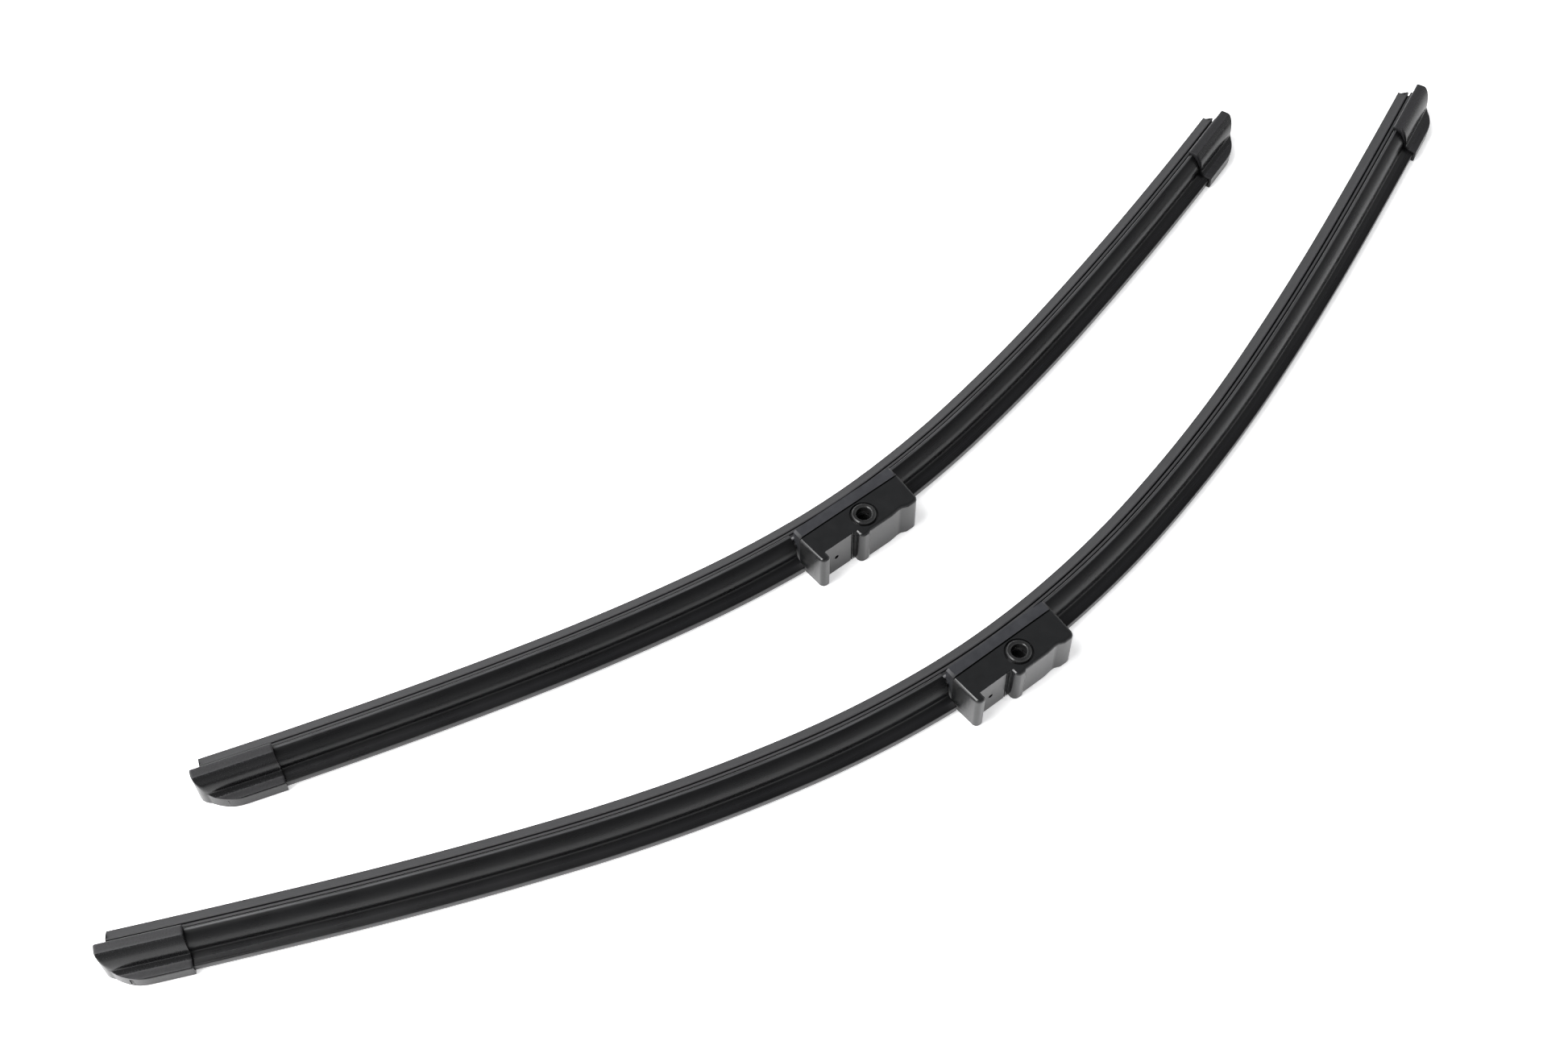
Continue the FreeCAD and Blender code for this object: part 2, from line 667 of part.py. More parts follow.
def connector_cover(blade):
    body = new_body(f"{blade}_connector_cover")
    plan = new_sketch(body, "plan", "XY_Plane")
    outline(plan, cover_outline())
    extrude(body, "Pad", plan, D["deck"])
    # the upper and lower outer edges are rounded, but not the seam or the recess
    for height, size in ((D["deck"], D["edge_round"]), (Dim(0), D["foot_round"])):
        edges = [
            name for name, edge in named_edges(body) if level(edge, height) and outer(edge)
        ]
        round_off(body, "Fillet", edges, size)
    # two hollows open at the seam, either side of the boss around the bush
    seam = -(D["seam_reach"] - D["seam_gap"])
    wall = D["wall"]
    left_hollow = (D["cover_left"] + wall * 2, D["boss_left"], D["recess_reach"])
    right_hollow = (D["boss_right"], D["base_right"] - wall * 1.5, D["flat_foot"])
    for index, (near, far, foot) in enumerate((left_hollow, right_hollow)):
        hollow = new_sketch(body, f"hollow_{index}", "XZ_Plane", seam)
        outline(hollow, [(near, wall), (far, wall), (far, D["deck"] - wall), (near, D["deck"] - wall)])
        depth = -foot - seam - wall
        extrude(body, "Pocket", hollow, depth, reverse=True)
    bores = (
        ("bore", D["barrel_radius"] + D["fit_gap"], Dim(0), D["deck"]),
        ("dish", D["dish_radius"], D["dish_floor"], D["deck"]),
        ("pocket", D["pocket_radius"], Dim(0), D["pocket_head"]),
    )
    for name, radius, floor, roof in bores:
        sketch = new_sketch(body, name, "XY_Plane", floor)
        circle(sketch, D["bush_station"], D["bush_reach"], radius)
        extrude(body, "Pocket", sketch, roof - floor, reverse=True)
    hole = new_sketch(body, "hole", "XZ_Plane", -D["recess_reach"])
    circle(hole, D["pin_hole_station"], D["mid_height"], D["pin_hole_radius"])
    extrude(body, "Pocket", hole, D["wall"] * 2)
    return body


def outer(edge):
    """True for an edge of the wing, hub, flat face, heel or end, and false on the recess."""
    box = edge.BoundBox
    on_recess = box.YMax < D["recess_reach"].value + 1 and (
        box.XMin > D["wing_inner"].value - 1e-3 and box.XMax < D["hub_left"].value + 1e-3
    )
    on_seam = box.YMin > D["seam_reach"].value - 1
    return not on_recess and not on_seam


def pivot_bush(blade):
    """Turned about its own axis, and drawn with that axis on Z."""
    body = new_body(f"{blade}_pivot_bush")
    half = new_sketch(body, "half", "XZ_Plane")
    bend = D["collar_round"]
    outline(
        half,
        [
            (D["stop_radius"], D["snap_foot"]),
            (D["snap_radius"], D["snap_foot"]),
            (D["snap_radius"], D["snap_head"]),
            (D["barrel_radius"], D["snap_head"]),
            (D["barrel_radius"], D["dish_floor"] + D["fit_gap"]),
            (D["collar_radius"], D["dish_floor"] + D["fit_gap"]),
            (D["collar_radius"], D["collar_top"] - bend),
            (D["collar_radius"] - bend, D["collar_top"], bend),
            (D["bore_radius"] + bend, D["collar_top"]),
            (D["bore_radius"], D["collar_top"] - bend),
            (D["bore_radius"], D["ring_groove_head"]),
            (D["ring_groove_radius"], D["ring_groove_head"]),
            (D["ring_groove_radius"], D["ring_groove_foot"]),
            (D["bore_radius"], D["ring_groove_foot"]),
            (D["bore_radius"], D["stop_head"]),
            (D["stop_radius"], D["stop_head"]),
        ],
    )
    doc.recompute()
    turned = body.newObject("PartDesign::Revolution", f"{body.Name}_turned")
    turned.Profile = half
    turned.ReferenceAxis = (half, ["V_Axis"])
    turned.Angle = 360
    half.Visibility = False
    return body


def pin_snap_ring(blade):
    """A split ring in the bush's groove, which snaps into the groove of the arm's pin."""
    body = new_body(f"{blade}_pin_snap_ring")
    plan = new_sketch(body, "plan", "XY_Plane", D["ring_groove_foot"] + D["fit_gap"])
    circle(plan, 0, 0, D["ring_outer"])
    circle(plan, 0, 0, D["ring_inner"])
    tall = D["ring_groove_head"] - D["ring_groove_foot"] - D["fit_gap"] * 2
    extrude(body, "Pad", plan, tall)
    gap = new_sketch(body, "gap", "XY_Plane")
    reach = D["ring_outer"] * 1.5
    rise = math.tan(math.radians(D["ring_half_gap"].value))
    share = Dim(rise, f"tan({D['ring_half_gap'].text})")
    outline(gap, [(0, 0), (reach, -reach * share), (reach, reach * share)])
    extrude(body, "Pocket", gap, 40, midplane=True)
    return body


# ---------------------------------------------------------------- the pair


def build_blade(blade, place):
    """All pieces of a blade, with their places relative to the long blade's middle."""
    bush_axis = Placement(Vector(D["bush_station"].value, D["bush_reach"].value, 0), Rotation())
    pieces = [
        (wiper_rubber(blade), Placement()),
        (spring_rail(blade, "upper", 1), Placement()),
        (spring_rail(blade, "lower", -1), Placement()),
        (connector_base(blade), Placement()),
        (connector_cover(blade), Placement()),
        (pivot_bush(blade), bush_axis),
        (pin_snap_ring(blade), bush_axis),
    ]
    for side in (-1, 1):
        middle = rubber_end(blade, side) + D["cap_over"] - D["cap_middle"]
        to_tip = Placement(Vector(D["cap_middle"].value * side, 0, 0), Rotation())
        pieces.append((spoiler(blade, side), Placement()))
        pieces.append((end_cap(blade, side), station(blade, side, middle) * to_tip))
    return [(body, place * own) for body, own in pieces]


def main():
    apart = Vector(D["pair_across"].value, D["pair_apart"].value, 0)
    pieces = build_blade("long", Placement()) + build_blade("short", Placement(apart, Rotation()))
    for body, place in pieces:
        body.Placement = place
    doc.recompute()
    # the frame's origin is the middle of the pair's footprint on the table
    footprint = FreeCAD.BoundBox()
    for body, _ in pieces:
        footprint.add(body.Shape.optimalBoundingBox(False, False))
    centre = Placement(Vector(-footprint.Center.x, -footprint.Center.y, 0), Rotation())
    for body, place in pieces:
        body.Placement = centre * place
    doc.recompute()
    for item in doc.Objects:
        if {"Invalid", "Error"} & set(item.State):
            raise RuntimeError(f"{item.Name} failed: {item.State}")
    os.makedirs("parts", exist_ok=True)
    for body, _ in pieces:
        shape = body.Shape
        if shape.isNull() or not shape.isValid() or len(shape.Solids) != 1:
            raise RuntimeError(f"{body.Label} has no single valid solid")
        shape.exportStep(f"parts/{body.Label}.step")
        print(f"{body.Label}: {shape.Volume / 1000:.2f} cm3")
    long_pin = centre.multVec(Vector(D["bush_station"].value, D["bush_reach"].value, 0))
    short_pin = long_pin + apart
    print("long bush axis", long_pin, "short bush axis", short_pin, "box", footprint)


main()
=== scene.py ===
import json
import math

import bmesh
import bpy
from mathutils import Matrix, Quaternion, Vector

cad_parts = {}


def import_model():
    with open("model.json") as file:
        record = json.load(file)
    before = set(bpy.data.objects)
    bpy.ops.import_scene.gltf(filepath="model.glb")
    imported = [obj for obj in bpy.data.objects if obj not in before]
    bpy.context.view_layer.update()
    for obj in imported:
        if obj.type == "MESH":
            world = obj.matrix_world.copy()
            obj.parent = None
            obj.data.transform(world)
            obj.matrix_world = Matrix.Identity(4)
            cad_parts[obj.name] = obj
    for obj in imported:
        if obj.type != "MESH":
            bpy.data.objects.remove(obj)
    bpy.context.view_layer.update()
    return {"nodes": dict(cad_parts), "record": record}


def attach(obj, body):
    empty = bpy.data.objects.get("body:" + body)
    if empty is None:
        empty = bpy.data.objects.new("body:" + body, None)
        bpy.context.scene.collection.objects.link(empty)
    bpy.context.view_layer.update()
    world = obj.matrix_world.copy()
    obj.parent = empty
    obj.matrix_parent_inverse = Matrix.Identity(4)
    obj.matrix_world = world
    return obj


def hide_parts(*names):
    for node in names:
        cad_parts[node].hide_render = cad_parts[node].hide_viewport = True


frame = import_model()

MM = 0.001

# ---------------------------------------------------------------- where things are
# Each blade is described about the middle of its bend: "station" s runs along the bent
# blade, "reach" p across it towards the lip, and "height" h off the table, in millimetres.

# height of the blade's own middle plane off the table
MIDDLE = 8.6
# the bush's axis, from the middle of the bend
BUSH_AT = (1.7, -6.8)
# where each arc of the bend ends, as a share of half the rubber, and how far the last runs on
SHARES = (0.08, 0.255, 0.51, 0.765)
RUN_ON = 60.0
# the rubber's length, how far it is shifted to the right, how much flatter the bend is on the
# right than on the left, and the radii of its arcs from the middle out
BLADES = {
    "long": {"rubber": 650.0, "shift": 7.15, "bias": 0.043, "bends": (329, 410, 690, 1519, 4027)},
    "short": {"rubber": 500.0, "shift": 3.9, "bias": 0.0, "bends": (312, 433, 827, 1735, 2110)},
}
MOUNTS = {mount["name"]: mount for mount in frame["record"]["mounts"]}


class Blade:
    """One blade's bend: turns a station, a reach and a height into a point of the frame."""

    def __init__(self, name):
        size = BLADES[name]
        self.name = name
        self.body = f"{name}_blade"
        pin = MOUNTS[f"{name}_pin_bore"]["pos_m"]
        self.origin = Vector((pin[0] / MM - BUSH_AT[0], pin[1] / MM - BUSH_AT[1], 0))
        self.right_end = size["rubber"] / 2 + size["shift"]
        self.left_end = -size["rubber"] / 2 + size["shift"]
        self.arcs = {}
        for side in (1, -1):
            half = size["rubber"] / 2
            stops = [half * share for share in SHARES] + [half + RUN_ON]
            starts = [0.0] + stops[:-1]
            radii = [bend * (1 + side * size["bias"]) for bend in size["bends"]]
            self.arcs[side] = list(zip(radii, starts, stops))

    def at(self, s):
        """The bend's point at a station, and the way it heads there."""
        side = 1 if s >= 0 else -1
        x, y, turned = 0.0, 0.0, 0.0
        for radius, start, stop in self.arcs[side]:
            run = max(0.0, min(abs(s), stop) - start)
            x += radius * (math.sin(turned + run / radius) - math.sin(turned))
            y += radius * (math.cos(turned) - math.cos(turned + run / radius))
            turned += run / radius
        return Vector((side * x, y, 0)), side * turned

    def point(self, s, p, h):
        """A point of the frame, in metres."""
        middle, turn = self.at(s)
        across = Vector((-math.sin(turn), math.cos(turn), 0))
        return (self.origin + middle + across * p + Vector((0, 0, h))) * MM

    def placed(self, s, ahead=0.0):
        """The matrix of a straight piece that lies along the bend at a station, in metres."""
        middle, turn = self.at(s)
        turned = Matrix.Rotation(turn, 4, "Z")
        slid = Matrix.Translation((ahead * MM, 0, 0))
        return Matrix.Translation((self.origin + middle) * MM) @ turned @ slid


# ---------------------------------------------------------------- outlines


def arc_points(start, end, radius, step):
    """Points of the short arc after its start, no more than a step in degrees apart.

    A positive radius turns left.
    """
    start, end = Vector(start), Vector(end)
    chord = end - start
    half = chord.length / 2
    side = Vector((-chord.y, chord.x)).normalized()
    rise = math.sqrt(max(radius * radius - half * half, 0))
    centre = start + chord / 2 + side * (rise if radius > 0 else -rise)
    first = math.atan2(start.y - centre.y, start.x - centre.x)
    span = 2 * math.asin(min(half / abs(radius), 1)) * (1 if radius > 0 else -1)
    count = max(2, math.ceil(math.degrees(abs(span)) / step))
    reach = abs(radius)
    points = []
    for index in range(1, count + 1):
        angle = first + span * index / count
        points.append((centre.x + reach * math.cos(angle), centre.y + reach * math.sin(angle)))
    return points


def traced(corners, step):
    """A closed outline of (x, y) or (x, y, radius of the arc that leads there)."""
    points = []
    for index, corner in enumerate(corners):
        before = corners[index - 1][:2]
        if len(corner) == 3:
            points += arc_points(before, corner[:2], corner[2], step)
        else:
            points.append(corner[:2])
    return points


# an outline's corner that turns by less than this many degrees isn't rounded
CORNER = 25


def softened(points, radius, steps=3):
    """Rounds the sharp corners of an outline. Gives points and how much edge each is."""
    made, edge = [], []
    count = len(points)
    for index, point in enumerate(points):
        here = Vector(point)
        back = Vector(points[index - 1]) - here
        ahead = Vector(points[(index + 1) % count]) - here
        if back.length < 1e-6 or ahead.length < 1e-6:
            continue
        between = back.angle(ahead)
        if math.degrees(math.pi - between) < CORNER:
            made.append((here.x, here.y))
            edge.append(0.0)
            continue
        trim = radius / math.tan(between / 2)
        trim = min(trim, back.length * 0.45, ahead.length * 0.45)
        near = here + back.normalized() * trim
        far = here + ahead.normalized() * trim
        for part in range(steps + 1):
            share = part / steps
            bezier = near * (1 - share) ** 2 + here * (2 * share * (1 - share)) + far * share**2
            made.append((bezier.x, bezier.y))
            edge.append(1.0)
    return made, edge


def inset(points, distance):
    """An outline, whichever way round it runs, moved inwards by a small distance."""
    if area(points) < 0:
        distance = -distance
    made = []
    count = len(points)
    for index, point in enumerate(points):
        here = Vector(point)
        back = (here - Vector(points[index - 1])).normalized()
        ahead = (Vector(points[(index + 1) % count]) - here).normalized()
        along = (back + ahead).normalized() if (back + ahead).length > 1e-6 else ahead
        inward = Vector((-along.y, along.x))
        stretch = 1 / max(0.5, inward.dot(Vector((-ahead.y, ahead.x))))
        moved = here + inward * distance * stretch
        made.append((moved.x, moved.y))
    return made


def area(points):
    """The signed area of an outline, positive when it runs anticlockwise."""
    total = 0.0
    for index, (x, y) in enumerate(points):
        before = points[index - 1]
        total += before[0] * y - x * before[1]
    return total / 2


def mirrored(section):
    """Closes a half section (reach, half width) over the middle plane, anticlockwise."""
    upper = [(reach, MIDDLE + half) for reach, half in section]
    lower = [(reach, MIDDLE - half) for reach, half in reversed(section)]
    return upper + lower


# ---------------------------------------------------------------- meshes


def mark_sharp(bm, angle):
    """Shades smooth across every edge that turns by less than an angle in degrees."""
    for edge in bm.edges:
        if len(edge.link_faces) == 2:
            edge.smooth = edge.calc_face_angle(0) < math.radians(angle)


def placed_mesh(name, bm):
    """An object of the scene made of a bmesh, which it frees."""
    mesh = bpy.data.meshes.new(name)
    bm.to_mesh(mesh)
    bm.free()
    made = bpy.data.objects.new(name, mesh)
    bpy.context.scene.collection.objects.link(made)
    return made


def finish_mesh(name, bm, body, node, slot, sharp=32):
    """Makes a piece of a bmesh: rides it on its body and gives it its material."""
    bmesh.ops.recalc_face_normals(bm, faces=bm.faces)
    for face in bm.faces:
        face.smooth = True
    mark_sharp(bm, sharp)
    piece = placed_mesh(name, bm)
    piece.data.materials.append(LOOKS[slot])
    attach(piece, body)
    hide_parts(node)
    return piece


def new_bmesh():
    """An empty bmesh, and its layers for UV, worn edges and tone."""
    bm = bmesh.new()
    layers = {
        "uv": bm.loops.layers.uv.new("along"),
        "wear": bm.verts.layers.float.new("wear"),
        "tone": bm.verts.layers.float.new("tone"),
    }
    return bm, layers


def loft(bm, layers, rings, wear, tone=None, along=None, closed_ends=True):
    """Skins closed rings of points. U runs from ring to ring and V round them, in metres."""
    made = []
    for ring in rings:
        row = []
        for i, point in enumerate(ring):
            vert = bm.verts.new(point)
            vert[layers["wear"]] = wear[i]
            vert[layers["tone"]] = tone[i] if tone else 0.5
            row.append(vert)
        made.append(row)
    count = len(made[0])
    round_it = [0.0]
    middle = rings[len(rings) // 2]
    for i in range(count):
        round_it.append(round_it[-1] + (middle[(i + 1) % count] - middle[i]).length)
    lengths = along
    if lengths is None:
        lengths = [0.0]
        for a, b in zip(rings, rings[1:]):
            lengths.append(lengths[-1] + (b[0] - a[0]).length)
    for j in range(len(made) - 1):
        for i in range(count):
            k = (i + 1) % count
            face = bm.faces.new((made[j][i], made[j + 1][i], made[j + 1][k], made[j][k]))
            spots = ((j, i), (j + 1, i), (j + 1, i + 1), (j, i + 1))
            for loop, (row, column) in zip(face.loops, spots):
                loop[layers["uv"]].uv = (lengths[row], round_it[column])
    if closed_ends:
        for row, length in ((made[0], lengths[0]), (made[-1], lengths[-1])):
            face = bm.faces.new(row)
            for loop in face.loops:
                spot = loop.vert.co
                loop[layers["uv"]].uv = (length + spot.z, spot.z + spot.y)
    return made


# distance between two rings of a swept piece
RING_SPACING = 4.0


def swept(blade, section, start, end, chamfer=0.12):
    """Rings of a section carried along the bend between two stations, its ends eased."""
    count = max(2, round((end - start) / RING_SPACING))
    eased = [(start, chamfer), (start + chamfer, 0.0)]
    eased += [(start + (end - start) * i / count, 0.0) for i in range(1, count)]
    eased += [(end - chamfer, 0.0), (end, chamfer)]
    rings = []
    for station, draw in eased:
        ring = inset(section, draw) if draw else section
        rings.append([blade.point(station, p, h) for p, h in ring])
    return rings, [station * MM for station, _ in eased]


# ---------------------------------------------------------------- materials


# the colour sockets of a Mix node, whose names its float sockets share
MIX_COLOUR_A = 6
MIX_COLOUR_B = 7
MIX_COLOUR_OUT = 2


class Look:
    """A node material, built a node at a time."""

    def __init__(self, name):
        self.material = bpy.data.materials.new(name)
        self.material.use_nodes = True
        self.tree = self.material.node_tree
        self.shader = self.tree.nodes["Principled BSDF"]

    def put(self, kind, inputs=None, out=0, **settings):
        """Adds a node and gives its output."""
        node = self.tree.nodes.new(f"ShaderNode{kind}")
        for key, value in settings.items():
            setattr(node, key, value)
        for key, value in (inputs or {}).items():
            self.feed(node.inputs[key], value)
        return node.outputs[out]

    def feed(self, socket, value):
        """Links a socket to a value's node, or sets it."""
        if isinstance(value, bpy.types.NodeSocket):
            self.tree.links.new(value, socket)
        elif isinstance(value, (int, float)) and hasattr(socket.default_value, "__len__"):
            socket.default_value = [value] * 3 + [1] * (len(socket.default_value) - 3)
        else:
            socket.default_value = value

    def attribute(self, name):
        """A number that the mesh's points carry."""
        return self.put("Attribute", attribute_name=name, out="Fac")

    def place(self):
        """Coordinates fixed to the piece, in metres."""
        return self.put("TexCoord", out="Object")

    def along(self, stretch):
        """Coordinates along and round a swept piece, stretched along it."""
        flat = self.put("UVMap", uv_map="along")
        return self.put("Mapping", {"Vector": flat, "Scale": (1 / stretch, 1, 1)})

    def noise(self, where, scale, detail=3.0, rough=0.55):
        """Cloudy noise, its scale in spots to the metre."""
        inputs = {"Vector": where, "Scale": scale, "Detail": detail, "Roughness": rough}
        return self.put("TexNoise", inputs, out="Fac")

    def curve(self, value, low, high, to_low=0.0, to_high=1.0):
        """Stretches a value from one range to another, and clamps it."""
        inputs = {
            "Value": value,
            "From Min": low,
            "From Max": high,
            "To Min": to_low,
            "To Max": to_high,
        }
        return self.put("MapRange", inputs)

    def spread(self, noise, to_low=0.0, to_high=1.0):
        """A noise's usual range stretched to another."""
        return self.curve(noise, 0.3, 0.7, to_low, to_high)

    def math(self, operation, a, b, c=0.0):
        """A sum or product of two or three values."""
        return self.put("Math", {0: a, 1: b, 2: c}, operation=operation)

    def blend(self, share, a, b):
        """A mix of two colours."""
        inputs = {"Factor": share, MIX_COLOUR_A: as_colour(a), MIX_COLOUR_B: as_colour(b)}
        return self.put("Mix", inputs, out=MIX_COLOUR_OUT, data_type="RGBA")

    def bump(self, height, strength, distance, after=None):
        """A normal tilted by a height of so many metres, on top of another bump's."""
        inputs = {"Height": height, "Strength": strength, "Distance": distance}
        if after is not None:
            inputs["Normal"] = after
        return self.put("Bump", inputs)

    def done(self, colour, roughness, normal=None, specular=0.5, **more):
        """Feeds the shader and gives the material."""
        self.feed(self.shader.inputs["Base Color"], colour)
        self.feed(self.shader.inputs["Roughness"], roughness)
        self.feed(self.shader.inputs["Specular IOR Level"], specular)
        if normal is not None:
            self.feed(self.shader.inputs["Normal"], normal)
        for key, value in more.items():
            self.feed(self.shader.inputs[key.replace("_", " ")], value)
        return self.material


def as_colour(value):
    """A colour with its alpha. A socket stays as it is."""
    if isinstance(value, tuple) and len(value) == 3:
        return value + (1.0,)
    return value


def rubber_look():
    """Matt black rubber, lighter and streaked along the lip."""
    look = Look("wiping_rubber")
    where = look.place()
    streaks = look.noise(look.along(18), 2600, 4)
    cloud = look.noise(where, 90, 4)
    specks = look.noise(where, 5200, 2, 0.7)
    tone = look.attribute("tone")
    wear = look.attribute("wear")
    dust = look.curve(cloud, 0.35, 0.75)
    base = look.blend(tone, (0.012, 0.012, 0.0128), (0.027, 0.027, 0.0283))
    base = look.blend(look.math("MULTIPLY", dust, 0.3), base, (0.036, 0.036, 0.0375))
    fine = look.math("MULTIPLY", look.curve(specks, 0.62, 0.8), 0.35)
    base = look.blend(fine, base, (0.05, 0.05, 0.05))
    worn = look.math("MULTIPLY", wear, look.spread(streaks, 0.15, 0.6))
    base = look.blend(worn, base, (0.045, 0.045, 0.047))
    rough = look.spread(streaks, 0.46, 0.62)
    normal = look.bump(specks, 0.25, 0.00003)
    normal = look.bump(streaks, 0.35, 0.00004, normal)
    return look.done(base, rough, normal, 0.32)


def spoiler_look():
    """Satin elastomer. Its tone marks a painted highlight along the claws' edge."""
    look = Look("spoiler_elastomer")
    where = look.place()
    streaks = look.noise(look.along(40), 1500, 5)
    cloud = look.noise(where, 45, 4)
    specks = look.noise(where, 4200, 2, 0.7)
    dust = look.math("MULTIPLY", look.curve(specks, 0.68, 0.82), 0.15)
    base = look.blend(look.spread(cloud), (0.0026, 0.0026, 0.0028), (0.0045, 0.0045, 0.0049))
    base = look.blend(dust, base, (0.05, 0.05, 0.05))
    worn = look.math("MULTIPLY", look.attribute("wear"), 0.3)
    base = look.blend(worn, base, (0.02, 0.02, 0.022))
    # painted highlight: a light line along the claws' top edge, streaked along its length
    claw_glint = look.math("MULTIPLY", look.attribute("tone"), look.spread(streaks, 0.35, 1.0))
    base = look.blend(claw_glint, base, (0.075, 0.075, 0.078))
    rough = look.math("ADD", look.spread(cloud, 0.25, 0.32), look.spread(streaks, -0.02, 0.03))
    normal = look.bump(streaks, 0.1, 0.00002)
    normal = look.bump(specks, 0.1, 0.00001, normal)
    return look.done(base, rough, normal, 0.3)


def cap_look():
    """Smooth plastic with spark-eroded flats, which its tone marks."""
    look = Look("textured_cap_plastic")
    where = look.place()
    grain = look.put("TexVoronoi", {"Vector": where, "Scale": 2600.0}, feature="F1")
    soft = look.noise(where, 1700, 3)
    cloud = look.noise(where, 70, 3)
    flats = look.attribute("tone")
    base = look.blend(look.spread(cloud), (0.0032, 0.0032, 0.0035), (0.0055, 0.0055, 0.006))
    textured = look.blend(look.spread(soft), (0.009, 0.009, 0.0098), (0.018, 0.0175, 0.0195))
    base = look.blend(flats, base, textured)
    worn = look.math("MULTIPLY", look.attribute("wear"), look.curve(soft, 0.35, 0.65, 0.1, 0.5))
    base = look.blend(worn, base, (0.032, 0.032, 0.034))
    pits = look.curve(grain, 0.1, 0.55)
    rough = look.math("ADD", look.spread(soft, 0.24, 0.28), look.math("MULTIPLY", flats, 0.18))
    normal = look.bump(pits, look.math("MULTIPLY_ADD", flats, 0.47, 0.02), 0.00003)
    normal = look.bump(soft, look.math("MULTIPLY_ADD", flats, 0.3, 0.02), 0.00003, normal)
    return look.done(base, rough, normal, 0.37)


def moulded_look(name, dark, light, worn_to, roughness, grain_depth):
    """Moulded plastic. A tone under a half paints shade into the seam."""
    look = Look(name)
    where = look.place()
    mottle = look.noise(where, 240, 5, 0.6)
    cloud = look.noise(where, 60, 3)
    grain = look.noise(where, 3400, 3, 0.6)
    share = look.math("ADD", look.spread(mottle, 0, 0.6), look.spread(cloud, 0, 0.4))
    base = look.blend(share, dark, light)
    worn = look.math("MULTIPLY", look.attribute("wear"), look.curve(mottle, 0.35, 0.7, 0.15, 0.6))
    base = look.blend(worn, base, worn_to)
    # painted shade: where the tone is low, on the seam's walls, the colour goes nearly black and
    # rougher
    seam_shade = look.curve(look.attribute("tone"), 0.0, 0.5, 0.9, 0.0)
    base = look.blend(seam_shade, base, (0.0006, 0.0006, 0.0006))
    rough = look.spread(mottle, roughness - 0.03, roughness + 0.04)
    rough = look.math("ADD", rough, look.math("MULTIPLY", seam_shade, 0.5))
    normal = look.bump(grain, 0.35, grain_depth)
    normal = look.bump(mottle, 0.08, 0.00004, normal)
    return look.done(base, rough, normal, 0.5)


def steel_look():
    """Bare spring steel, brushed along its length."""
    look = Look("spring_steel")
    where = look.place()
    brushed = look.noise(look.along(60), 3000, 4)
    cloud = look.noise(where, 120, 3)
    base = look.blend(look.spread(cloud), (0.30, 0.30, 0.31), (0.46, 0.46, 0.47))
    rough = look.spread(brushed, 0.28, 0.45)
    normal = look.bump(brushed, 0.3, 0.00002)
    return look.done(base, rough, normal, 0.5, Metallic=1.0)


LOOKS = {
    "rubber": rubber_look(),
    "spoiler_plastic": spoiler_look(),
    "cap_plastic": cap_look(),
    "base_plastic": moulded_look(
        "connector_base_plastic",
        dark=(0.0195, 0.020, 0.0227),
        light=(0.0305, 0.0313, 0.0352),
        worn_to=(0.066, 0.066, 0.073),
        roughness=0.32,
        grain_depth=0.00002,
    ),
    "cover_plastic": moulded_look(
        "connector_cover_plastic",
        dark=(0.0072, 0.0075, 0.0079),
        light=(0.0093, 0.0096, 0.0101),
        worn_to=(0.027, 0.027, 0.027),
        roughness=0.17,
        grain_depth=0.00001,
    ),
    "bush_plastic": moulded_look(
        "bush_plastic",
        dark=(0.005, 0.005, 0.0053),
        light=(0.008, 0.008, 0.0085),
        worn_to=(0.03, 0.03, 0.03),
        roughness=0.2,
        grain_depth=0.00001,
    ),
    "spring_steel": steel_look(),
}
LOOKS["ring_steel"] = LOOKS["spring_steel"]


# ---------------------------------------------------------------- pieces of a blade


# where the lip ends and its shoulder begins, and how far the tone runs up the lip
LIP_TIP = 11.2
LIP_ROOT = 7.7
LIP_FADE = 3.5
# how far the rails and the spoilers stop short of the rubber's ends
RAIL_SHORT = 5.6


def lip_tone(reach):
    """The rubber's tone by reach: it rises from the lip's tip, and is even below the lip."""
    if reach < LIP_ROOT - 0.1:
        return 0.6
    share = (LIP_TIP + 0.2 - reach) / LIP_FADE
    return 0.25 + 0.75 * min(1.0, max(0.0, share))


def wiper_rubber(blade):
    """Lip, shoulder, tilt neck, head flange and head, from the lip's tip down."""
    half = [
        (LIP_TIP, 0.45),
        (LIP_ROOT, 0.75),
        (LIP_ROOT, 2.4),
        (7.0, 2.4),
        (7.0, 0.55),
        (6.2, 0.55),
        (6.2, 2.9),
        (5.3, 2.9),
        (5.3, 1.9),
        (3.65, 1.9),
        (3.65, 0.7),
        (2.65, 0.7),
        (2.65, 1.8),
        (1.0, 1.8),
    ]
    section, wear = softened(mirrored(half), radius=0.14)
    tone = [lip_tone(p) for p, _ in section]
    bm, layers = new_bmesh()
    rings, along = swept(blade, section, blade.left_end, blade.right_end)
    loft(bm, layers, rings, wear, tone, along)
    node = f"{blade.name}_wiper_rubber"
    return finish_mesh(f"{node}_lip", bm, blade.body, node, "rubber")


def spring_rail(blade, name, up):
    """A flat spring in one of the rubber's side grooves."""
    near, far = MIDDLE + 0.75 * up, MIDDLE + 3.3 * up
    outline = [(3.6, near), (3.6, far), (2.7, far), (2.7, near)]
    section, wear = softened(outline, radius=0.18)
    bm, layers = new_bmesh()
    start, end = blade.left_end + RAIL_SHORT, blade.right_end - RAIL_SHORT
    rings, along = swept(blade, section, start, end)
    loft(bm, layers, rings, wear, along=along)
    node = f"{blade.name}_{name}_spring_rail"
    return finish_mesh(f"{node}_strip", bm, blade.body, node, "spring_steel")


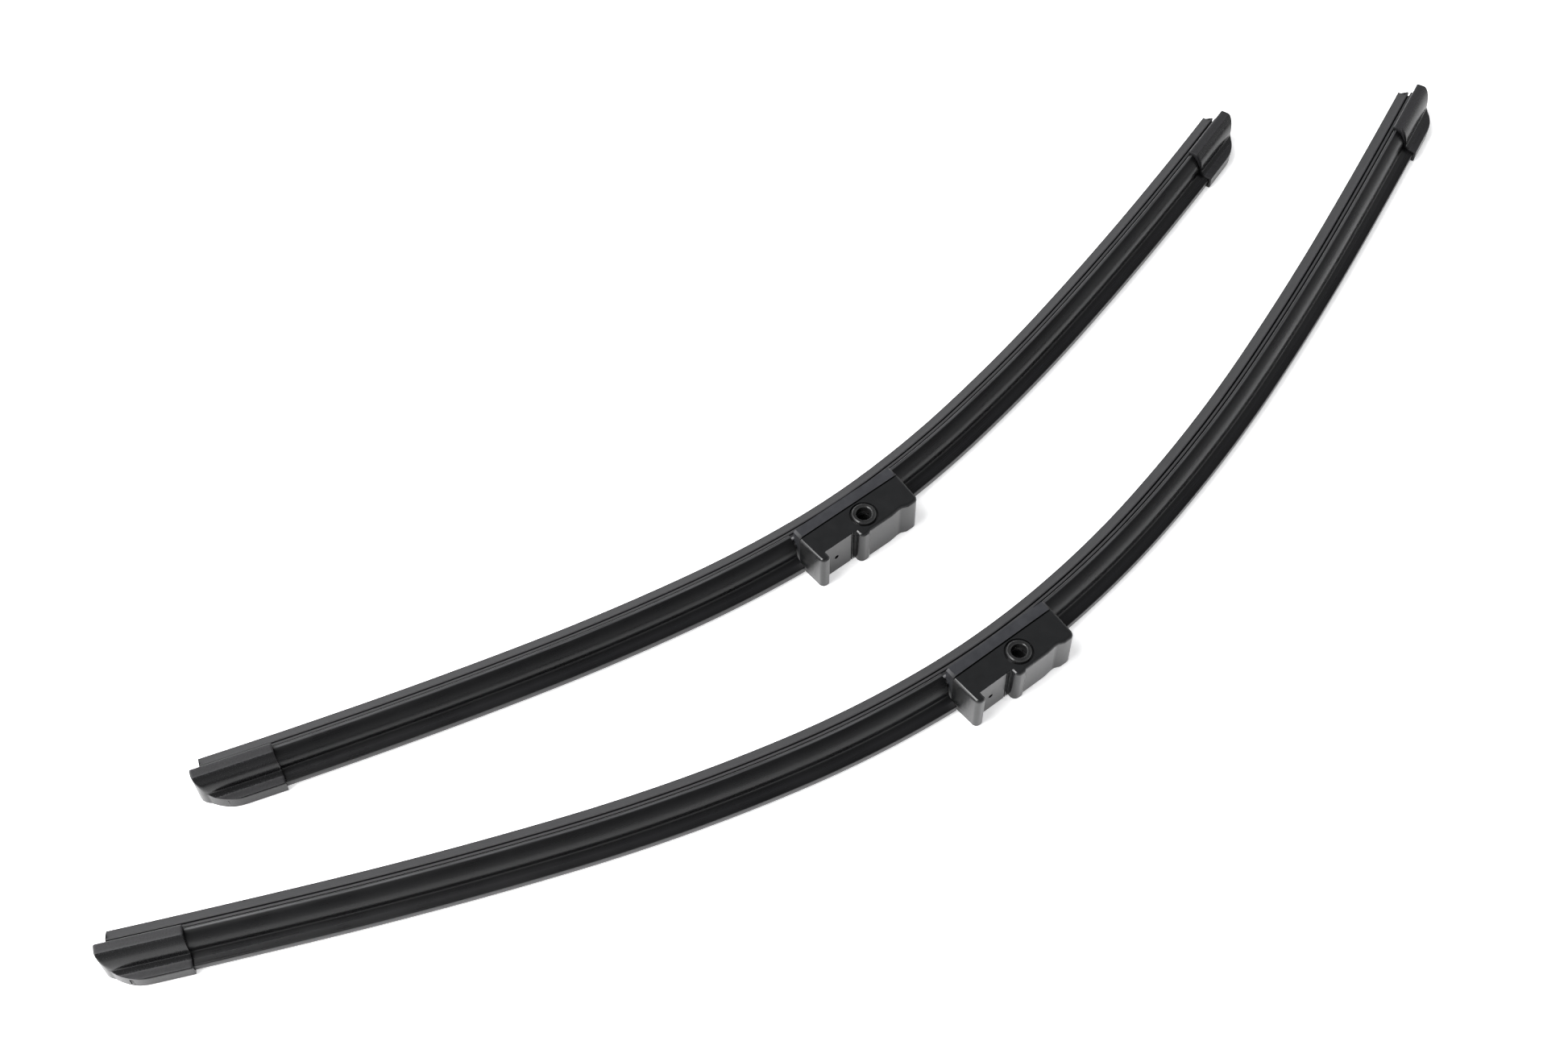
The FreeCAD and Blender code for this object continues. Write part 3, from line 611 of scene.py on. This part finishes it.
# the spoiler's section: half its thickness at the claws, the reaches of the claws' mouth and the
# fin's edge, the heights of the fin's top and underside, and the rounding of claws and fin
SPOILER_HALF = 4.0
CLAW_MOUTH = 4.7
FIN_EDGE = -5.75
FIN_TOP = 4.3
FIN_UNDER = 1.35
CLAW_ROUND = 0.6
FIN_ROUND = 0.4
# half of the space inside the claws, (reach, half width): rails at its mouth, then the rubber's head
CAVITY = [(CLAW_MOUTH, 2.0), (3.65, 2.0), (3.65, 3.35), (2.65, 3.35), (2.65, 1.9), (0.9, 1.9)]
# the claw's edge carries a painted highlight between two reaches, over a height, and two points more
# on its flank, at these distances past its corner, keep the painted highlight narrow
GLINT_REACHES = (3.5, 4.1)
GLINT_OVER = 12.4
GLINT_POINTS = (0.36, 0.42)
# the spoilers' inner ends, which the connector covers
SPOILER_FROM = 22.7
SPOILER_TO = -23.6


def spoiler_outer(grow):
    """Claw, brow, flank, apron, fin and underside. It can be grown for the cap's socket."""
    high, low = MIDDLE + SPOILER_HALF + grow, MIDDLE - SPOILER_HALF - grow
    claw, tip = CLAW_MOUTH + grow, FIN_EDGE - grow
    face, under = FIN_TOP + grow, FIN_UNDER - grow
    return [
        (claw, high - CLAW_ROUND),
        (claw - CLAW_ROUND, high, CLAW_ROUND),
        (-0.95 - grow, 6.1, 6.8 + grow),
        (-1.64, 5.03 + grow, -1.2),
        (-3.2, face),
        (tip + FIN_ROUND, face),
        (tip, face - FIN_ROUND, FIN_ROUND),
        (tip, under),
        (-2.0, under),
        (2.2, low),
        (claw - CLAW_ROUND, low),
        (claw, low + CLAW_ROUND, CLAW_ROUND),
    ]


def spoiler_section():
    """The spoiler's section with its claws open towards the lip."""
    upper = [(p, MIDDLE + half) for p, half in CAVITY]
    lower = [(p, MIDDLE - half) for p, half in reversed(CAVITY)]
    corners = spoiler_outer(0)
    inner = list(reversed(upper + lower))
    points = traced(corners + inner, step=7)
    corner = Vector(corners[1][:2])
    spot = min(range(len(points)), key=lambda i: (Vector(points[i]) - corner).length)
    here, after = Vector(points[spot]), Vector(points[spot + 1])
    step = (after - here).normalized()
    # two more points past the claw's corner keep the painted highlight line narrow
    extra = [tuple(here + step * distance) for distance in GLINT_POINTS]
    return points[: spot + 1] + extra + points[spot + 1 :]


def spoiler(blade, side):
    """The aerofoil on one side of the connector, swept along the bend."""
    name = "right" if side > 0 else "left"
    section, wear = softened(spoiler_section(), radius=0.1, steps=2)
    near, far = GLINT_REACHES
    # tone 1 marks the painted highlight along the claw's top edge
    tone = [1.0 if near < p < far and h > GLINT_OVER else 0.0 for p, h in section]
    start = SPOILER_FROM if side > 0 else blade.left_end + RAIL_SHORT
    end = blade.right_end - RAIL_SHORT if side > 0 else SPOILER_TO
    bm, layers = new_bmesh()
    rings, along = swept(blade, section, start, end, chamfer=0.1)
    loft(bm, layers, rings, wear, tone, along)
    node = f"{blade.name}_{name}_spoiler"
    return finish_mesh(f"{node}_skin", bm, blade.body, node, "spoiler_plastic", sharp=38)


def soft_max(value, limit, radius):
    """The larger of two values, its corner rounded."""
    gap = (value - limit) / radius
    if gap > 1:
        return value
    if gap < -1:
        return limit
    return limit + radius * (gap + 1) ** 2 / 4


# the cap: its length, how far it reaches past the rubber, how much further back its fin goes
# than its deck, and the station, from its tip, where it lies along the bend
CAP_LENGTH = 28.6
CAP_PAST = 3.4
CAP_SKIRT = 0.6
CAP_MIDDLE = 15.0
# the cap's section: the reaches of its back and its fin's edge, the heights of its deck and fin,
# and the rounding of its fin
CAP_BACK = 5.2
CAP_FIN = -7.0
CAP_DECK = 14.2
CAP_FIN_TOP = 5.6
CAP_ROUND = 0.8
# the reaches where its deck ends and its fin begins
DECK_EDGE = 1.6
FIN_ROOT = -3.7
# the bow seen from above, (distance back from the tip, reach): tip, knee and full width, and the
# radii of the two arcs between them
CAP_TIP = (0.0, 2.6)
CAP_KNEE = (3.4, -1.9)
CAP_FULL = (17.0, CAP_FIN)
CAP_TIP_RADIUS = 5.0
CAP_BOW_RADIUS = 18.5
# how far back from the tip the cap's end starts to slant
SKIRT_FROM = 17.5
# how far back from the tip the spoiler's socket and the rubber's slot start, how far back their
# cutters run, the socket's clearance, and the slot's reaches and half width
SOCKET_FROM = 8.5
SLOT_FROM = 2.9
CUT_TO = 40.0
SOCKET_PLAY = 0.15
SLOT_REACHES = (0.85, 6.2)
SLOT_HALF = 2.05
# the angle over which an edge of the cap shows as one
CAP_SHARP = 34


def cap_corner(back):
    """The cap's outer side seen from above: its reach at a distance back from the tip."""
    outline = [CAP_TIP] + arc_points(CAP_TIP, CAP_KNEE, CAP_TIP_RADIUS, step=4)
    outline += arc_points(CAP_KNEE, CAP_FULL, CAP_BOW_RADIUS, step=3)
    for (x0, y0), (x1, y1) in zip(outline, outline[1:]):
        if back <= x1:
            return y0 + (y1 - y0) * (back - x0) / max(x1 - x0, 1e-6)
    return CAP_FIN


def cap_outer():
    """The cap's section as points (reach, height, wear), close enough to follow its bow."""
    spacing = 0.9
    corners = [
        (CAP_BACK, 3.1),
        (CAP_BACK, CAP_DECK),
        (DECK_EDGE, CAP_DECK),
        (-1.95, 7.1, 9.0),
        (-2.48, 6.27, -1.0),
        (-3.75, CAP_FIN_TOP),
        (CAP_FIN + CAP_ROUND, CAP_FIN_TOP),
        (CAP_FIN, CAP_FIN_TOP - CAP_ROUND, CAP_ROUND),
        (CAP_FIN, CAP_ROUND),
        (CAP_FIN + CAP_ROUND, 0.0, CAP_ROUND),
        (-1.8, 0.0),
        (2.6, 3.1),
    ]
    dense = []
    points, wear = softened(traced(corners, step=6), radius=0.55, steps=4)
    for index, point in enumerate(points):
        here, after = Vector(point), Vector(points[(index + 1) % len(points)])
        parts = max(1, math.ceil((after - here).length / spacing))
        for part in range(parts):
            spot = here.lerp(after, part / parts)
            dense.append((spot.x, spot.y, wear[index] if part == 0 else 0.0))
    return dense


def on_flat(p, h):
    """1 where a point of the cap's section lies on its textured deck or fin, else 0."""
    return 1.0 if h > CAP_DECK - 0.05 or (p < FIN_ROOT and h > CAP_FIN_TOP - 0.1) else 0.0


def cap_stops():
    """Where the cap's rings are: how far back from its tip, and how far each is drawn in."""
    ease = 0.7
    stops = []
    for angle in (0, 0.3, 0.6, 0.9, 1.2):
        stops.append((ease * (1 - math.cos(angle)), ease * (1 - math.sin(angle))))
    stops.append((ease, 0.0))
    # close together where the bow turns, then wider, then the rounded end
    stops += [(1.0 + 0.35 * i, 0.0) for i in range(14)]
    stops += [(6.2 + 0.8 * i, 0.0) for i in range(28)]
    stops += [(CAP_LENGTH - 0.25, 0.0), (CAP_LENGTH - 0.08, 0.07), (CAP_LENGTH, 0.25)]
    return stops


def cap_skirt(back, p):
    """How much further back a point of the cap lies, as the fin's end slants past the deck's."""
    slide = min(1.0, max(0.0, (back - SKIRT_FROM) / (CAP_LENGTH - SKIRT_FROM)))
    lean = min(1.0, max(0.0, (DECK_EDGE - p) / (DECK_EDGE - FIN_ROOT)))
    lean = lean * lean * (3 - 2 * lean)
    return CAP_SKIRT * lean * slide


def prism(outline, matrix, near, far):
    """A cutter: an outline run between two places on the cap's own X axis, in millimetres."""
    bm = bmesh.new()
    for x in (near, far):
        verts = [bm.verts.new(matrix @ (Vector((x, p, h)) * MM)) for p, h in outline]
        bm.faces.new(verts)
    bm.verts.ensure_lookup_table()
    count = len(outline)
    for i in range(count):
        k = (i + 1) % count
        bm.faces.new((bm.verts[i], bm.verts[count + i], bm.verts[count + k], bm.verts[k]))
    bmesh.ops.recalc_face_normals(bm, faces=bm.faces)
    return placed_mesh("cutter", bm)


def end_cap(blade, side):
    """Lofted back from its tip, then hollowed for the spoiler and the rubber."""
    name = "right" if side > 0 else "left"
    end = blade.right_end if side > 0 else blade.left_end
    matrix = blade.placed(end + (CAP_PAST - CAP_MIDDLE) * side, CAP_MIDDLE * side)
    section = cap_outer()
    flat = [(p, h) for p, h, _ in section]
    wear = [w for _, _, w in section]
    tone = [on_flat(p, h) for p, h in flat]
    rings = []
    for back, draw in cap_stops():
        ring = inset(flat, draw) if draw else flat
        limit = cap_corner(max(back, 0.05)) + draw
        row = []
        for p, h in ring:
            p = soft_max(p, limit, radius=0.5)
            row.append(matrix @ (Vector((-(back + cap_skirt(back, p)) * side, p, h)) * MM))
        rings.append(row)
    bm, layers = new_bmesh()
    loft(bm, layers, rings, wear, tone)
    node = f"{blade.name}_{name}_end_cap"
    cap = finish_mesh(f"{node}_shell", bm, blade.body, node, "cap_plastic", CAP_SHARP)
    socket = traced(spoiler_outer(SOCKET_PLAY), step=8)
    low, high = MIDDLE - SLOT_HALF, MIDDLE + SLOT_HALF
    near, far = SLOT_REACHES
    slot = [(near, low), (far, low), (far, high), (near, high)]
    cutters = [
        prism(socket, matrix, -SOCKET_FROM * side, -CUT_TO * side),
        prism(slot, matrix, -SLOT_FROM * side, -CUT_TO * side),
    ]
    carve(cap, cutters)
    return cap


def carve(piece, cutters):
    """Takes the cutters away from a piece for good, and removes them."""
    for cutter in cutters:
        cut = piece.modifiers.new("cut", "BOOLEAN")
        cut.operation = "DIFFERENCE"
        cut.solver = "EXACT"
        cut.object = cutter
    graph = bpy.context.evaluated_depsgraph_get()
    made = bpy.data.meshes.new_from_object(piece.evaluated_get(graph))
    piece.modifiers.clear()
    old = piece.data
    piece.data = made
    bpy.data.meshes.remove(old)
    for cutter in cutters:
        bpy.data.objects.remove(cutter)
    bm = bmesh.new()
    bm.from_mesh(made)
    mark_sharp(bm, CAP_SHARP)
    bm.to_mesh(made)
    bm.free()


# the base's side of the seam, the seam's width, and how far its edge is set back so that it shows
SEAM_REACH = -1.0
SEAM_GAP = 0.1
SEAM_OPEN = 0.5
# edges that turn by more than this many degrees are eased, and the seam's painted shade is above
# this height
EASED_OVER = 24
SEAM_SHADE_OVER = 10.0


def eased_copy(blade, node, slot, width):
    """A CAD node's shape with its hard edges eased, for moulded plastic."""
    bm = bmesh.new()
    bm.from_mesh(frame["nodes"][node].data)
    bmesh.ops.remove_doubles(bm, verts=bm.verts, dist=1e-6)
    bmesh.ops.dissolve_limit(bm, angle_limit=math.radians(0.6), verts=bm.verts, edges=bm.edges)
    wear = bm.verts.layers.float.new("wear")
    tone = bm.verts.layers.float.new("tone")
    bm.loops.layers.uv.new("along")
    seam = (blade.origin.y + SEAM_REACH) * MM
    plane = seam - SEAM_GAP * MM
    if slot == "base_plastic":
        plane = seam + SEAM_OPEN * MM
        for vert in bm.verts:
            if abs(vert.co.y - seam) < 0.03 * MM:
                vert.co.y = plane
    turn = math.radians(EASED_OVER)
    hard = [e for e in bm.edges if len(e.link_faces) == 2 and e.calc_face_angle(0) > turn]
    made = bmesh.ops.bevel(
        bm,
        geom=hard,
        offset=width * MM,
        offset_type="OFFSET",
        segments=2,
        profile=0.5,
        affect="EDGES",
        clamp_overlap=True,
    )
    rounds = set(made["faces"])
    bm.normal_update()
    for vert in bm.verts:
        # tone 0 marks the seam's walls, above a height and off the top faces, for painted shade
        by_seam = abs(vert.co.y - plane) < 0.2 * MM and vert.co.z > SEAM_SHADE_OVER * MM
        on_top = any(face.normal.z > 0.95 for face in vert.link_faces)
        vert[tone] = 0.0 if by_seam and not on_top else 0.5
    for vert in {v for face in rounds for v in face.verts}:
        inside = all(face in rounds for face in vert.link_faces)
        vert[wear] = 1.0 if inside and vert[tone] > 0 else 0.0
    piece = finish_mesh(f"{node}_moulding", bm, blade.body, node, slot, sharp=50)
    flat = piece.modifiers.new("flats", "WEIGHTED_NORMAL")
    flat.mode = "FACE_AREA"
    flat.weight = 100
    flat.keep_sharp = True
    return piece


def lathed(blade, name, node, profile, slot, steps, span=(0.0, math.tau)):
    """Turns a (radius, height) profile about the bush's axis. It rides on the bush's body."""
    points, wear = softened(profile, radius=0.18)
    middle = blade.origin + Vector((BUSH_AT[0], BUSH_AT[1], 0))
    start, end = span
    full = end - start > math.tau - 1e-6
    rings = []
    count = steps if full else steps + 1
    for step in range(count):
        angle = start + (end - start) * step / steps
        x, y = math.cos(angle), math.sin(angle)
        rings.append([(middle + Vector((x * r, y * r, h))) * MM for r, h in points])
    bm, layers = new_bmesh()
    if full:
        rings.append(rings[0])
    rows = loft(bm, layers, rings, wear, closed_ends=not full)
    if full:
        bmesh.ops.remove_doubles(bm, verts=rows[0] + rows[-1], dist=1e-7)
    return finish_mesh(name, bm, f"{blade.name}_bush", node, slot)


# radii of the bush's pin bore, stop lip, snap bead, sleeve, collar and ring groove
BORE = MOUNTS["long_pin_bore"]["dims"]["r_mm"]
STOP_LIP = 2.3
SNAP_BEAD = 4.4
SLEEVE = 3.95
COLLAR = 4.5
GROOVE = 3.5
# heights of the bush's ends, of its collar's underside, and of the ring groove
BUSH_FOOT = 0.4
BUSH_TOP = 18.0
COLLAR_UNDER = 16.25
GROOVE_SPAN = (13.3, 14.5)


def pivot_bush(blade):
    """Stop lip, snap bead, sleeve, collar with eased rims, and the ring's groove in the bore."""
    groove_foot, groove_top = GROOVE_SPAN
    profile = [
        (STOP_LIP, BUSH_FOOT),
        (SNAP_BEAD, BUSH_FOOT),
        (SNAP_BEAD, 1.5),
        (SLEEVE, 1.5),
        (SLEEVE, COLLAR_UNDER),
        (COLLAR, COLLAR_UNDER),
        (COLLAR, BUSH_TOP - 0.45),
        (COLLAR - 0.45, BUSH_TOP),
        (BORE + 0.35, BUSH_TOP),
        (BORE, BUSH_TOP - 0.35),
        (BORE, groove_top),
        (GROOVE, groove_top),
        (GROOVE, groove_foot),
        (BORE, groove_foot),
        (BORE, 1.9),
        (STOP_LIP, 1.9),
    ]
    node = f"{blade.name}_pivot_bush"
    return lathed(blade, f"{node}_turned", node, profile, "bush_plastic", steps=72)


def snap_ring(blade):
    """An open ring in the bush's groove, its gap towards the right."""
    play = 0.05
    inner, outer = 3.0, GROOVE - play
    low, high = GROOVE_SPAN[0] + play, GROOVE_SPAN[1] - play
    profile = [(inner, low), (outer, low), (outer, high), (inner, high)]
    gap = math.radians(25)
    ends = (gap, math.tau - gap)
    node = f"{blade.name}_pin_snap_ring"
    return lathed(blade, f"{node}_wire", node, profile, "ring_steel", steps=56, span=ends)


for title in BLADES:
    one = Blade(title)
    wiper_rubber(one)
    spring_rail(one, "upper", 1)
    spring_rail(one, "lower", -1)
    for way in (-1, 1):
        spoiler(one, way)
        end_cap(one, way)
    eased_copy(one, f"{title}_connector_base", "base_plastic", width=0.28)
    eased_copy(one, f"{title}_connector_cover", "cover_plastic", width=0.22)
    pivot_bush(one)
    snap_ring(one)

# ---------------------------------------------------------------- floor, light and camera


# half the floor's width in metres, and how strongly it glows
FLOOR_REACH = 6.0
FLOOR_GLOW = 0.5


def floor():
    """A white table that glows faintly, so that shadows on it stay light."""
    mesh = bpy.data.meshes.new("floor")
    reach = FLOOR_REACH
    corners = [(-reach, -reach, 0), (reach, -reach, 0), (reach, reach, 0), (-reach, reach, 0)]
    mesh.from_pydata(corners, [], [(0, 1, 2, 3)])
    piece = bpy.data.objects.new("floor", mesh)
    bpy.context.scene.collection.objects.link(piece)
    look = Look("white_table")
    cloud = look.noise(look.place(), 3, 2)
    tint = look.blend(look.spread(cloud), (0.90, 0.90, 0.905), (0.92, 0.92, 0.925))
    glow = {"Emission_Color": (1.0, 1.0, 1.0, 1.0), "Emission_Strength": FLOOR_GLOW}
    mesh.materials.append(look.done(tint, 0.6, None, 0.3, **glow))


# how far the lamps stand from the origin in metres, and each lamp's name, azimuth and elevation in
# degrees, width and height in metres, and power in watts
LAMP_DISTANCE = 3.0
LAMPS = (
    ("high", 156, 64, (1.3, 1.3), 58),
    ("left", 174, 40, (1.6, 1.6), 58),
    ("back_left", 134, 40, (1.5, 1.5), 48),
    ("back_strip", 76, 24, (2.4, 0.8), 34),
)


def softbox(name, azimuth, elevation, size, power):
    """An area light on a sphere round the origin, facing it."""
    turn, rise = math.radians(azimuth), math.radians(elevation)
    flat = math.cos(rise)
    towards = Vector((math.cos(turn) * flat, math.sin(turn) * flat, math.sin(rise)))
    light = bpy.data.lights.new(name, "AREA")
    light.shape = "RECTANGLE"
    light.size, light.size_y = size
    light.energy = power
    lamp = bpy.data.objects.new(name, light)
    lamp.location = towards * LAMP_DISTANCE
    lamp.rotation_mode = "QUATERNION"
    lamp.rotation_quaternion = (-towards).to_track_quat("-Z", "Y")
    bpy.context.scene.collection.objects.link(lamp)


# where the camera stands and what it looks at, in millimetres from the middle of the long bend,
# its focal length and sensor in millimetres, and its roll in radians
CAMERA_SPOT = (-295.4, -260.6, 663.3)
CAMERA_AIM = (-21.3, 95.8, 0.0)
CAMERA_LENS = 49.59
CAMERA_SENSOR = 36.0
CAMERA_ROLL = -0.016


def camera():
    """A camera at the photograph's viewing angle."""
    origin = Blade("long").origin
    spot = (origin + Vector(CAMERA_SPOT)) * MM
    aim = (origin + Vector(CAMERA_AIM)) * MM
    data = bpy.data.cameras.new("camera")
    data.sensor_fit = "HORIZONTAL"
    data.sensor_width = CAMERA_SENSOR
    data.lens = CAMERA_LENS
    data.clip_start = 0.01
    data.clip_end = 50.0
    eye = bpy.data.objects.new("camera", data)
    eye.location = spot
    eye.rotation_mode = "QUATERNION"
    look_at = (aim - spot).to_track_quat("-Z", "Y")
    eye.rotation_quaternion = look_at @ Quaternion((0, 0, 1), CAMERA_ROLL)
    bpy.context.scene.collection.objects.link(eye)
    bpy.context.scene.camera = eye


# strength of the surroundings' light at the horizon and overhead
HORIZON = 0.95
ZENITH = 0.15


def world():
    """White surroundings, bright at the horizon and dim overhead."""
    shade = bpy.data.worlds.new("studio")
    shade.use_nodes = True
    tree = shade.node_tree
    back = tree.nodes["Background"]
    back.inputs["Color"].default_value = (0.98, 0.985, 1.0, 1.0)
    place = tree.nodes.new("ShaderNodeTexCoord")
    split = tree.nodes.new("ShaderNodeSeparateXYZ")
    fade = tree.nodes.new("ShaderNodeMapRange")
    fade.interpolation_type = "SMOOTHSTEP"
    fade.inputs["From Min"].default_value = 0.0
    fade.inputs["From Max"].default_value = 1.0
    fade.inputs["To Min"].default_value = HORIZON
    fade.inputs["To Max"].default_value = ZENITH
    tree.links.new(place.outputs["Generated"], split.inputs[0])
    tree.links.new(split.outputs["Z"], fade.inputs["Value"])
    tree.links.new(fade.outputs[0], back.inputs["Strength"])
    bpy.context.scene.world = shade


floor()
world()
camera()
for lamp in LAMPS:
    softbox(*lamp)
bpy.context.scene.view_settings.view_transform = "Standard"
